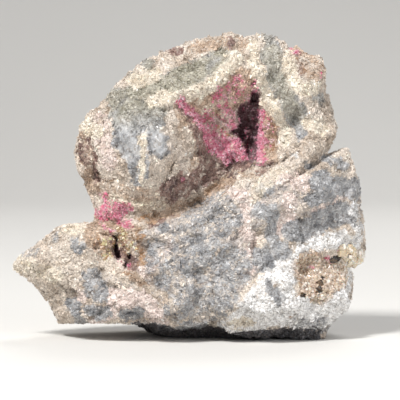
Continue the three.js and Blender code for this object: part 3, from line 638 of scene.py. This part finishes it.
def stone_tint_and_shade(place, hole, stray=0):
    """The stone's linear colour at form positions, painted shade included: cream under noise-broken layers.

    Stray is a random number for each grain that lets some of them take a neighbouring zone's colour.
    """
    front = smooth(*FACE_FADE, place[:, 1])
    mottle = 0.5 + noise_sum(place, MOTTLE)
    patchy = 0.5 + noise_sum(place, PATCHES)
    spread = noise_sum(place, EDGE_SPREAD) + stray
    x, z = ragged(place)

    def layered(tint, layers):
        for shades, zones, hidden in layers:
            share = cover_of(zones, x, z) * front
            if hidden:
                mean, size, seed = hidden
                share = share + (mean + HIDDEN_SPREAD * swell(place, size, seed)) * (1 - front)
            share = smooth(*ZONE_EDGE, share + spread * np.minimum(1, SPREAD_START * share))
            # Mixed stone changes its shade from grain to grain
            shade = 0.5 + spread if zones is MIXED_ZONES else mottle
            tint = blend(tint, shades, shade, share)
        return tint

    cream_shade = smooth(0.35, 1.0, 0.6 * patchy + 0.4 * mottle)
    tint = blend(np.zeros(place.shape), CREAM_STONE, cream_shade, np.ones(len(place)))
    tint = layered(tint, LOWER_LAYERS)
    tint = blend(tint, GREEN_STONE, mottle, green_share(patchy, x, z) * front)
    tint = blend(tint, DARK_RIM_AND_EDGE_SHADE, mottle, RIM_STRENGTH * cover_of(RIM_ZONES, x, z, RIM_FADE) * front)
    # Among the upper layers: painted shade in the recess, partly within the brown, and along the lower edge
    tint = layered(tint, UPPER_LAYERS)
    tint = blend(tint, VUG_STONE, mottle, cover_of(VUG_ZONES, x, z) * front)
    blush = np.maximum(cover_of(HOLLOW_BLOOM, x, z), cover_of(POCKET_BLOOM, x, z)) * front
    tint = blend(tint, ROSE_TINGE, mottle, BLUSH_STRENGTH * blush)
    # Painted shade inside the holes, growing with their depth
    return blend(tint, HOLE_SHADE, mottle, smooth(*HOLE_SHADE_FADE, hole))


class Nodes:
    """Adds nodes to a tree and links their inputs."""

    def __init__(self, tree):
        self.tree = tree

    def add(self, kind, inputs=(), **settings):
        node = self.tree.nodes.new(kind)
        for key, value in settings.items():
            setattr(node, key, value)
        for key, value in dict(inputs).items():
            if isinstance(value, bpy.types.NodeSocket):
                self.tree.links.new(value, node.inputs[key])
            else:
                node.inputs[key].default_value = value
        return node

    def maths(self, operation, first, second=0.5, third=0.5):
        return self.add("ShaderNodeMath", {0: first, 1: second, 2: third}, operation=operation).outputs[0]

    def mix(self, factor, first, second, kind="MIX"):
        """A colour mix of two colours or colour sockets."""
        inputs = {0: factor, 6: first, 7: second}
        return self.add("ShaderNodeMix", inputs, data_type="RGBA", blend_type=kind).outputs[2]

    def step(self, value, low, high):
        """A smooth step from 0 at low to 1 at high."""
        inputs = {"Value": value, "From Min": low, "From Max": high}
        return self.add("ShaderNodeMapRange", inputs, interpolation_type="SMOOTHSTEP").outputs[0]

    def attribute(self, name):
        return self.add("ShaderNodeAttribute", attribute_name=name)


# The wobble of the grains' edges: noise per metre and how far it moves them
WOBBLE_PER_METRE, WOBBLE = 900.0, 0.0006
# Where the painted shade in the gap between two grains starts and is deepest, as a distance from a grain's
# middle in grain sizes
GAP_SHADE_BAND = (0.42, 0.7)


def grain_group():
    """A node group of packed grains: a random tone and sparkle for each grain, a mask for painted shade in
    the gaps and a height.
    """
    group = bpy.data.node_groups.new("packed grains", "ShaderNodeTree")
    group.interface.new_socket("Grains per metre", in_out="INPUT", socket_type="NodeSocketFloat")
    for name in ("Tone", "Sparkle", "Gap shade", "Height"):
        group.interface.new_socket(name, in_out="OUTPUT", socket_type="NodeSocketFloat")
    nodes = Nodes(group)
    scale = nodes.add("NodeGroupInput").outputs[0]
    place = nodes.add("ShaderNodeTexCoord").outputs["Object"]
    wobble_inputs = {"Vector": place, "Scale": WOBBLE_PER_METRE, "Detail": 2.0}
    wobble = nodes.add("ShaderNodeTexNoise", wobble_inputs).outputs["Color"]
    shift = nodes.add("ShaderNodeVectorMath", {0: wobble, "Scale": WOBBLE}, operation="SCALE").outputs[0]
    moved = nodes.add("ShaderNodeVectorMath", {0: place, 1: shift}, operation="ADD").outputs[0]
    cells = nodes.add("ShaderNodeTexVoronoi", {"Vector": moved, "Scale": scale})
    apart = nodes.add("ShaderNodeSeparateColor", {"Color": cells.outputs["Color"]})
    nodes.add("NodeGroupOutput", {
        "Tone": apart.outputs[0],
        "Sparkle": apart.outputs[1],
        "Gap shade": nodes.step(cells.outputs["Distance"], *GAP_SHADE_BAND),
        "Height": nodes.maths("SUBTRACT", 1.0, cells.outputs["Distance"]),
    })
    return group


GRAINS = grain_group()


def new_material(name):
    material = bpy.data.materials.new(name)
    material.use_nodes = True
    material.node_tree.nodes.clear()
    return material, Nodes(material.node_tree)


def finish_material(nodes, inputs):
    """Ends a material in one Principled shader."""
    shader = nodes.add("ShaderNodeBsdfPrincipled", inputs)
    nodes.add("ShaderNodeOutputMaterial", {"Surface": shader.outputs[0]})


def grains(nodes, per_metre):
    node = nodes.add("ShaderNodeGroup", node_tree=GRAINS)
    node.inputs[0].default_value = per_metre
    return node.outputs


# Sizes of the grains painted on the stone, as grains per metre, and the height of each kind in the relief
FINE_GRAINS, COARSE_GRAINS = 2300.0, 1300.0
FINE_HEIGHT, COARSE_HEIGHT = 0.5, 0.7
# How much of each shade the grains take: pale fine ones, dark coarse ones, and the painted shade in the gaps
PALE_SHARE, DARK_SHARE, GAP_SHADE_SHARE = 0.3, 0.7, 0.4
# Tones between which a grain turns pale or dark, and sparkles between which it starts to shine
TONE_BAND, SPARKLE_BAND = (0.5, 1.0), (0.75, 1.0)
# Relief and roughness of the stone, then what polish takes off each and what a sparkle takes off roughness
RELIEF, RELIEF_DEPTH, ROUGHNESS = 0.85, 0.0004, 0.85
POLISHED_RELIEF, POLISHED_ROUGHNESS, SPARKLE_ROUGHNESS = -0.65, -0.52, -0.5


def rock_material():
    """Vein rock: the tint stored at each point, speckled by fine and coarse grains, with painted shade in
    the gaps between.
    """
    material, nodes = new_material("vein rock")
    tint = nodes.attribute("tint").outputs["Color"]
    polish = nodes.attribute("polish").outputs["Fac"]
    fine, coarse = grains(nodes, FINE_GRAINS), grains(nodes, COARSE_GRAINS)
    light = nodes.mix(nodes.step(fine["Tone"], *TONE_BAND), tint, srgb(246, 242, 238))
    colour = nodes.mix(PALE_SHARE, tint, light)
    dark = nodes.mix(nodes.step(coarse["Tone"], *TONE_BAND), (1, 1, 1, 1), srgb(196, 186, 176))
    colour = nodes.mix(DARK_SHARE, colour, dark, "MULTIPLY")
    rough_share = nodes.maths("SUBTRACT", 1.0, polish)
    # Painted shade in the gaps between grains, a brownish grey, weaker on polished stone
    gap_shade = nodes.maths("MULTIPLY", nodes.maths("MULTIPLY", fine["Gap shade"], GAP_SHADE_SHARE), rough_share)
    colour = nodes.mix(gap_shade, colour, srgb(140, 124, 112), "MULTIPLY")
    coarse_relief = nodes.maths("MULTIPLY", coarse["Height"], COARSE_HEIGHT)
    relief = nodes.maths("MULTIPLY_ADD", fine["Height"], FINE_HEIGHT, coarse_relief)
    strength = nodes.maths("MULTIPLY_ADD", polish, POLISHED_RELIEF, RELIEF)
    bump_inputs = {"Strength": strength, "Distance": RELIEF_DEPTH, "Height": relief}
    bump = nodes.add("ShaderNodeBump", bump_inputs)
    sparkle = nodes.step(fine["Sparkle"], *SPARKLE_BAND)
    dull = nodes.maths("MULTIPLY_ADD", sparkle, SPARKLE_ROUGHNESS, ROUGHNESS)
    roughness = nodes.maths("MULTIPLY_ADD", polish, POLISHED_ROUGHNESS, dull)
    finish_material(nodes, {"Base Color": colour, "Roughness": roughness, "Normal": bump.outputs[0]})
    return material


# Crystals: tones between which a grain darkens them, how much of the dark it brings, and their relief
CRYSTAL_BAND, CRYSTAL_DARK = (0.3, 0.9), 0.25
CRYSTAL_RELIEF, CRYSTAL_RELIEF_DEPTH, CRYSTAL_SPARKLE = 0.4, 0.0002, -0.3
# How far red, green and blue light reach into a clear crystal, in metres
LIGHT_REACH = (0.001, 0.0006, 0.0004)


def tinted_material(name, dark, grain_scale, roughness, specular, translucent=0.0):
    """Grains or crystals in their own stored tint, mottled by finer grains of a darker colour."""
    material, nodes = new_material(name)
    tint = nodes.attribute("tint").outputs["Color"]
    fine = grains(nodes, grain_scale)
    share = nodes.maths("MULTIPLY", nodes.step(fine["Tone"], *CRYSTAL_BAND), CRYSTAL_DARK)
    colour = nodes.mix(share, tint, dark)
    relief = {"Strength": CRYSTAL_RELIEF, "Distance": CRYSTAL_RELIEF_DEPTH, "Height": fine["Height"]}
    bump = nodes.add("ShaderNodeBump", relief)
    inputs = {
        "Base Color": colour,
        "Roughness": nodes.maths("MULTIPLY_ADD", fine["Sparkle"], CRYSTAL_SPARKLE, roughness),
        "Normal": bump.outputs[0],
        "Specular IOR Level": specular,
    }
    if translucent:
        inputs.update({"Subsurface Weight": translucent, "Subsurface Radius": LIGHT_REACH})
    finish_material(nodes, inputs)
    return material


ROCK = rock_material()
DRUSE = tinted_material("drusy grains", srgb(132, 112, 96), 3200.0, 0.62, 0.5)
BLOOM = tinted_material("erythrite bloom", srgb(206, 110, 136), 2600.0, 0.5, 0.6)
BLOCKS = tinted_material("vug crystals", srgb(170, 136, 98), 1500.0, 0.35, 0.7, 0.3)

# The rock's cells across the face, through the depth and up the face, and the room left for its grains
ROCK_CELLS = (160, 75, 160)
EDGE_ROOM = 0.35
# Where the holes set in round the rim, by direction, and where the polish does, by depth
HOLE_BAND, POLISH_BAND = (0.0, 0.4), (8, 2)


def make_rock():
    """The rock's points, faces and form coordinates: a box lattice blown up onto the broken form."""
    lattice, faces = box_surface(ROCK_CELLS)
    unit = 2 * lattice / np.array(ROCK_CELLS) - 1
    direction = np.tan(unit * math.pi / 4)
    direction /= np.linalg.norm(direction, axis=1, keepdims=True)
    points = break_flat(form_points(direction))
    points = roughen(points, direction)
    front = direction[:, 1] < 0
    sunk = np.where(front, hole_depth(points) * smooth(*HOLE_BAND, -direction[:, 1]), 0)
    points[:, 1] += sunk
    points = stand_on_foot(points, direction)
    return points, faces, sunk


def fit_to_node(points, node):
    """Stretches points in millimetres onto a CAD node's box, with a little room for the grains."""
    low, high = (np.array(corner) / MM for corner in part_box(node))
    low = low + np.array([EDGE_ROOM, EDGE_ROOM, 0])
    high = high - EDGE_ROOM
    mine_low, mine_high = points.min(axis=0), points.max(axis=0)
    return low + (points - mine_low) * (high - low) / (mine_high - mine_low)


form, rock_faces, sunk = make_rock()
rock_points = fit_to_node(form, "matrix_rock")
rock = mesh_object("rock", rock_points, rock_faces, ROCK, smooth_shading=True)
# The stored tint includes painted shade in the recess, inside the holes and along the lower edge
point_attribute(rock, "tint", stone_tint_and_shade(form, sunk))
polish = cover_of(GLOSSY_ZONES, form[:, 0], form[:, 2]) * smooth(*POLISH_BAND, form[:, 1])
point_attribute(rock, "polish", polish)
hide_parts("matrix_rock")
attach(rock, "root")


class Surface:
    """The rock's triangles with their normals, areas and form coordinates, to grow things on."""

    def __init__(self, points, form, faces, hole):
        corners = np.concatenate([faces[:, [0, 1, 2]], faces[:, [0, 2, 3]]])
        self.corners = points[corners]
        self.form_corners = form[corners]
        a, b, c = (self.corners[:, n] for n in range(3))
        cross = np.cross(b - a, c - a)
        self.area = np.linalg.norm(cross, axis=1) / 2
        self.normal = cross / np.maximum(2 * self.area, 1e-9)[:, None]
        self.form_middle = self.form_corners.mean(axis=1)
        self.hole = hole[corners].mean(axis=1)

    def scatter(self, weight, count, rng):
        """Random places, as likely as area times weight: their position, normal, form position and hole."""
        odds = np.cumsum(self.area * weight)
        chosen = np.searchsorted(odds, rng.random(count) * odds[-1])
        chosen = np.minimum(chosen, len(odds) - 1)
        u, v = rng.random(count), rng.random(count)
        over = u + v > 1
        u, v = np.where(over, 1 - u, u), np.where(over, 1 - v, v)
        shares = np.stack([1 - u - v, u, v], axis=1)[:, :, None]
        at = (self.corners[chosen] * shares).sum(axis=1)
        place = (self.form_corners[chosen] * shares).sum(axis=1)
        return at, self.normal[chosen], place, self.hole[chosen]


surface = Surface(rock_points, form, rock_faces, sunk)
BOX_LOW, BOX_HIGH = (np.array(corner) / MM for corner in cad_box)


# Depths that bound the face's grains and its blocks, and between which its blades thin out
FACE_LIMIT, BLOCK_LIMIT, BLADE_BAND = 2, 4, (8, 4)
# Depths inside a hole between which grains and blades thin out, and how bare it is at its bottom
GRAIN_HOLE, BLADE_HOLE, HOLE_BARE = (1, 4), (2, 5), 0.85
# How bare of grains glossy plates and grey stone are, and the height below which the foot has none
GLOSSY_BARE, GREY_BARE, FOOT_CLEAR = 0.97, 0.4, 0.4
# Noise levels between which grains crowd together, and those that break the bloom into a net
CLUMPS, NET = (-0.5, 0.4), (-0.15, 0.3)
# A spray's length, and a blade's width and thickness as parts of its length and width
SPRAY_LENGTH, BLADE_WIDTH, BLADE_THICKNESS = 0.6, 0.34, 0.55


def axes_about(normal, rng, lean):
    """Three square axes at each place: the third follows the normal, leaned by random amounts."""
    third = normal + lean * rng.normal(size=normal.shape)
    third /= np.linalg.norm(third, axis=1, keepdims=True)
    first = np.cross(third, rng.normal(size=normal.shape))
    first /= np.linalg.norm(first, axis=1, keepdims=True)
    return np.stack([first, np.cross(third, first), third], axis=1)


def planted(shape, faces, at, axes, scale, jitter, rng):
    """Copies of one small shape at many places, each scaled, turned and with its corners moved a little."""
    local = shape[None] * scale[:, None, :]
    local = local * (1 + jitter * rng.normal(size=local.shape))
    points = at[:, None] + np.einsum("nca,nab->ncb", local, axes)
    index = faces[None] + len(shape) * np.arange(len(at))[:, None, None]
    points = np.clip(points.reshape(-1, 3), BOX_LOW, BOX_HIGH)
    return points, index.reshape(-1, faces.shape[1])


# A block with its top drawn in, one unit across
TOP_SHARE = 0.72
SQUARE = [(-0.5, -0.5), (0.5, -0.5), (0.5, 0.5), (-0.5, 0.5)]
BLOCK = np.array([[x * k, y * k, z] for z, k in ((-0.5, 1), (0.5, TOP_SHARE)) for x, y in SQUARE])
BLOCK_FACES = np.array([
    [0, 3, 2, 1], [4, 5, 6, 7], [0, 1, 5, 4], [1, 2, 6, 5], [2, 3, 7, 6], [3, 0, 4, 7],
])
# A cube's corner, sitting on the stone by its hidden triangle
CORNER = np.array([
    [0.0, 0.0, 0.45], [0.816, 0.0, -0.13], [-0.408, 0.707, -0.13], [-0.408, -0.707, -0.13],
])
CORNER_FACES = np.array([[0, 1, 2], [0, 2, 3], [0, 3, 1], [1, 3, 2]])
# A slim blade: four corners round its waist, its tip and its root
BLADE = np.array([
    [0.5, 0, 0.3], [0, 0.5, 0.35], [-0.5, 0, 0.3], [0, -0.5, 0.35], [0, 0, 1.0], [0, 0, -0.1],
])
BLADE_FACES = np.array([
    [0, 1, 4], [1, 2, 4], [2, 3, 4], [3, 0, 4], [1, 0, 5], [2, 1, 5], [3, 2, 5], [0, 3, 5],
])


def growth(name, shape, shape_faces, at, axes, scale, tint, rng, jitter, material, slot):
    """Makes one piece of many small crystals, with a tint for each, and fixes it to the lump."""
    points, faces = planted(shape, shape_faces, at, axes, scale, jitter, rng)
    grown = mesh_object(name, points, faces, material)
    point_attribute(grown, "tint", np.repeat(np.clip(tint, 0, 1), len(shape), axis=0))
    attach(grown, "root")
    return grown


def varied(tint, rng, spread):
    """Each tint made lighter or darker at random."""
    return tint * np.exp(spread * rng.normal(size=(len(tint), 1)))


def from_palette(palette, count, rng):
    """A random linear colour from the palette for each of count crystals, by the palette's odds."""
    colours, odds = palette
    rows = np.array([srgb(*colour)[:3] for colour in colours])
    return rows[rng.choice(len(colours), count, p=odds)]


def varied_sizes(size, spread, largest, count, rng):
    """Sizes about the given one: e to the power of a random number, which is cut off at both ends."""
    return size * np.exp(spread * np.clip(rng.normal(size=count), -2, largest))


def grow_druse(name, front, count, size, seed):
    """Blocky grains over one side of the rock, in the stone's tint where each one stands, painted shade
    included.
    """
    rng = np.random.default_rng(seed)
    middle = surface.form_middle
    side = (middle[:, 1] < FACE_LIMIT) == front
    open_stone = 1 - HOLE_BARE * smooth(*GRAIN_HOLE, surface.hole)
    x, z = middle[:, 0], middle[:, 2]
    glossy = np.maximum(cover_of(GLOSSY_ZONES, x, z), GREY_BARE * cover_of(GREY_AND_EDGE_SHADE_ZONES, x, z)) if front else 0
    on_foot = surface.corners[:, :, 2].max(axis=1) < FOOT_CLEAR
    clumped = smooth(*CLUMPS, noise_sum(middle, [(1, 2.4, seed), (0.6, 6.0, seed + 1)]))
    weight = side * open_stone * (1 - GLOSSY_BARE * glossy) * ~on_foot * (0.3 + 0.7 * clumped)
    at, normal, place, hole = surface.scatter(weight, count, rng)
    sizes = varied_sizes(size, 0.4, 1.6, count, rng)
    scale = sizes[:, None] * (1 + 0.2 * np.clip(rng.normal(size=(count, 3)), -2, 2))
    tint = varied(stone_tint_and_shade(place, hole, 0.14 * rng.normal(size=count)), rng, 0.12)
    for factor, odds in SPECKS:
        tint *= np.where(rng.random(count) < odds, factor, 1)[:, None]
    axes = axes_about(normal, rng, lean=0.32)
    growth(name, CORNER, CORNER_FACES, at, axes, scale, tint, rng, jitter=0.12, material=DRUSE, slot="rock")


def grow_bloom(name, node, zones, count, blades, seed):
    """Sprays of pink blades: each spray's blades fan out from one point of the rock."""
    rng = np.random.default_rng(seed)
    middle = surface.form_middle
    x, z = ragged(middle)
    facing = smooth(*BLADE_BAND, middle[:, 1]) * (1 - HOLE_BARE * smooth(*BLADE_HOLE, surface.hole))
    netted = smooth(*NET, noise_sum(middle, [(1, 1.3, seed), (0.5, 0.8, seed + 1)]))
    cover = cover_of(zones, x, z)
    at, normal, _, _ = surface.scatter(cover * (cover + (1 - cover) * netted) * facing, count, rng)
    at, normal = np.repeat(at, blades, axis=0), np.repeat(normal, blades, axis=0)
    total = len(at)
    length = np.repeat(varied_sizes(SPRAY_LENGTH, 0.25, 1.4, count, rng), blades)
    length *= 0.75 + 0.5 * rng.random(total)
    width = BLADE_WIDTH * length * (0.7 + 0.6 * rng.random(total))
    scale = np.stack([width, BLADE_THICKNESS * width, length], axis=1)
    tint = np.repeat(from_palette(BLOOM_PALETTE, count, rng), blades, axis=0)
    tint = varied(tint, rng, 0.14)
    axes = axes_about(normal, rng, lean=0.75)
    looks = {"jitter": 0.08, "material": BLOOM, "slot": "erythrite"}
    bloom = growth(name, BLADE, BLADE_FACES, at, axes, scale, tint, rng, **looks)
    if node:
        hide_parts(node)


def grow_blocks(name, node, zones, count, size, palette, seed):
    """Blocky crystals in some zones of the face, in colours drawn from a palette with its odds."""
    rng = np.random.default_rng(seed)
    middle = surface.form_middle
    inside = cover_of(zones, middle[:, 0], middle[:, 2], SPOT_FADE) * (middle[:, 1] < BLOCK_LIMIT)
    at, normal, _, _ = surface.scatter(inside, count, rng)
    sizes = varied_sizes(size, 0.28, 2, count, rng)
    scale = sizes[:, None] * (1 + 0.15 * rng.normal(size=(count, 3)))
    tint = varied(from_palette(palette, count, rng), rng, 0.08)
    axes = axes_about(normal, rng, lean=0.45)
    looks = {"jitter": 0.06, "material": BLOCKS, "slot": "vug_crystal"}
    blocks = growth(name, BLOCK, BLOCK_FACES, at, axes, scale, tint, rng, **looks)
    if node:
        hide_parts(node)


grow_druse("druse_front_coarse", front=True, count=26000, size=0.62, seed=21)
grow_druse("druse_front_fine", front=True, count=49000, size=0.42, seed=25)
grow_druse("druse_back", front=False, count=44000, size=0.52, seed=22)
grow_bloom("bloom_hollow", "erythrite_crust_hollow", HOLLOW_BLOOM, count=1800, blades=12, seed=31)
grow_bloom("bloom_pocket", "erythrite_crust_pocket", POCKET_BLOOM, count=520, blades=12, seed=32)
grow_bloom("bloom_vug", None, VUG_BLOOM, count=24, blades=12, seed=33)
grow_blocks("vug_blocks", "vug_crystals", VUG_ZONES, count=900, size=0.62, palette=VUG_PALETTE, seed=77)
grow_blocks("vug_lip_blocks", None, VUG_LIP, count=90, size=1.35, palette=LIP_PALETTE, seed=78)
grow_blocks("vug_dark_grains", None, DARK_SPOTS, count=60, size=0.9, palette=SPOT_PALETTE, seed=79)
grow_blocks("pocket_crystals", None, POCKET_GEMS, count=210, size=0.6, palette=GEM_PALETTE, seed=80)

# The floor in millimetres: front end, start and radius of its bend, the wall's top, and half its width
FLOOR_FRONT, BEND_START, BEND_RADIUS, WALL_TOP, FLOOR_HALF = -2000, 700, 500, 2500, 3000.0


def pale_material(name, colour):
    """A matt pale surface with a faint soft variation."""
    material, nodes = new_material(name)
    place = nodes.add("ShaderNodeTexCoord").outputs["Object"]
    inputs = {"Vector": place, "Scale": 4.0, "Detail": 2.0, "Roughness": 0.5}
    noise = nodes.add("ShaderNodeTexNoise", inputs).outputs["Fac"]
    shade = nodes.mix(noise, colour, [0.97 * c for c in colour[:3]] + [1])
    finish_material(nodes, {"Base Color": shade, "Roughness": 0.9})
    return material


def make_floor():
    """A floor that sweeps up behind: a straight run, a quarter turn and a wall, the same all across."""
    turn = np.linspace(0, math.pi / 2, 24)
    run = np.array([[FLOOR_FRONT, 0], [BEND_START, 0]])
    bend = BEND_RADIUS * np.stack([np.sin(turn), 1 - np.cos(turn)], axis=1) + run[1]
    profile = np.concatenate([run, bend[1:], [[BEND_START + BEND_RADIUS, WALL_TOP]]])
    points = np.array([[x, y, z] for y, z in profile for x in (-FLOOR_HALF, FLOOR_HALF)])
    first = 2 * np.arange(len(profile) - 1)
    faces = np.stack([first, first + 1, first + 3, first + 2], axis=1)
    pale = pale_material("pale floor", srgb(226, 224, 220))
    floor = mesh_object("floor", points, faces, pale, smooth_shading=True)


def area_light(name, place, target, size, watts, colour=(1, 1, 1)):
    """A square light at a place in metres, turned to its target."""
    light = bpy.data.lights.new(name, "AREA")
    light.size, light.energy, light.color = size, watts, colour
    made = bpy.data.objects.new(name, light)
    made.location = place
    made.rotation_euler = (Vector(target) - Vector(place)).to_track_quat("-Z", "Y").to_euler()
    bpy.context.scene.collection.objects.link(made)


VIEW_AIM = Vector((2.8 * MM, 0, 38.2 * MM))
VIEW_DISTANCE = 0.8
VIEW_WIDTH = 0.112
VIEW_ELEVATION = math.radians(3.0)
SENSOR = 36.0
LIT_POINT = (0, 0, 0.04)


def make_camera():
    """A long lens at the photograph's level view, framing the photograph's width at the lump's face."""
    camera = bpy.data.cameras.new("camera")
    camera.sensor_width = SENSOR
    camera.lens = SENSOR * VIEW_DISTANCE / VIEW_WIDTH
    camera.clip_start, camera.clip_end = 0.01, 20
    made = bpy.data.objects.new("camera", camera)
    back = Vector((0, -math.cos(VIEW_ELEVATION), math.sin(VIEW_ELEVATION)))
    made.location = VIEW_AIM + back * VIEW_DISTANCE
    made.rotation_euler = (-back).to_track_quat("-Z", "Y").to_euler()
    bpy.context.scene.collection.objects.link(made)
    bpy.context.scene.camera = made


make_floor()
make_camera()
area_light("key", (-0.3, -0.5, 0.72), LIT_POINT, size=0.2, watts=8.9, colour=(1, 0.995, 0.985))
area_light("fill", (0.62, -0.6, 0.3), LIT_POINT, size=0.5, watts=2.6, colour=(0.97, 0.98, 1))
area_light("rim", (0.2, 0.6, 0.7), (0, 0, 0.05), size=0.4, watts=3.0)
world = bpy.data.worlds.new("studio")
world.use_nodes = True
background = world.node_tree.nodes["Background"]
background.inputs["Color"].default_value = (0.96, 0.97, 1, 1)
background.inputs["Strength"].default_value = 0.26
bpy.context.scene.world = world
bpy.context.scene.view_settings.view_transform = "Standard"
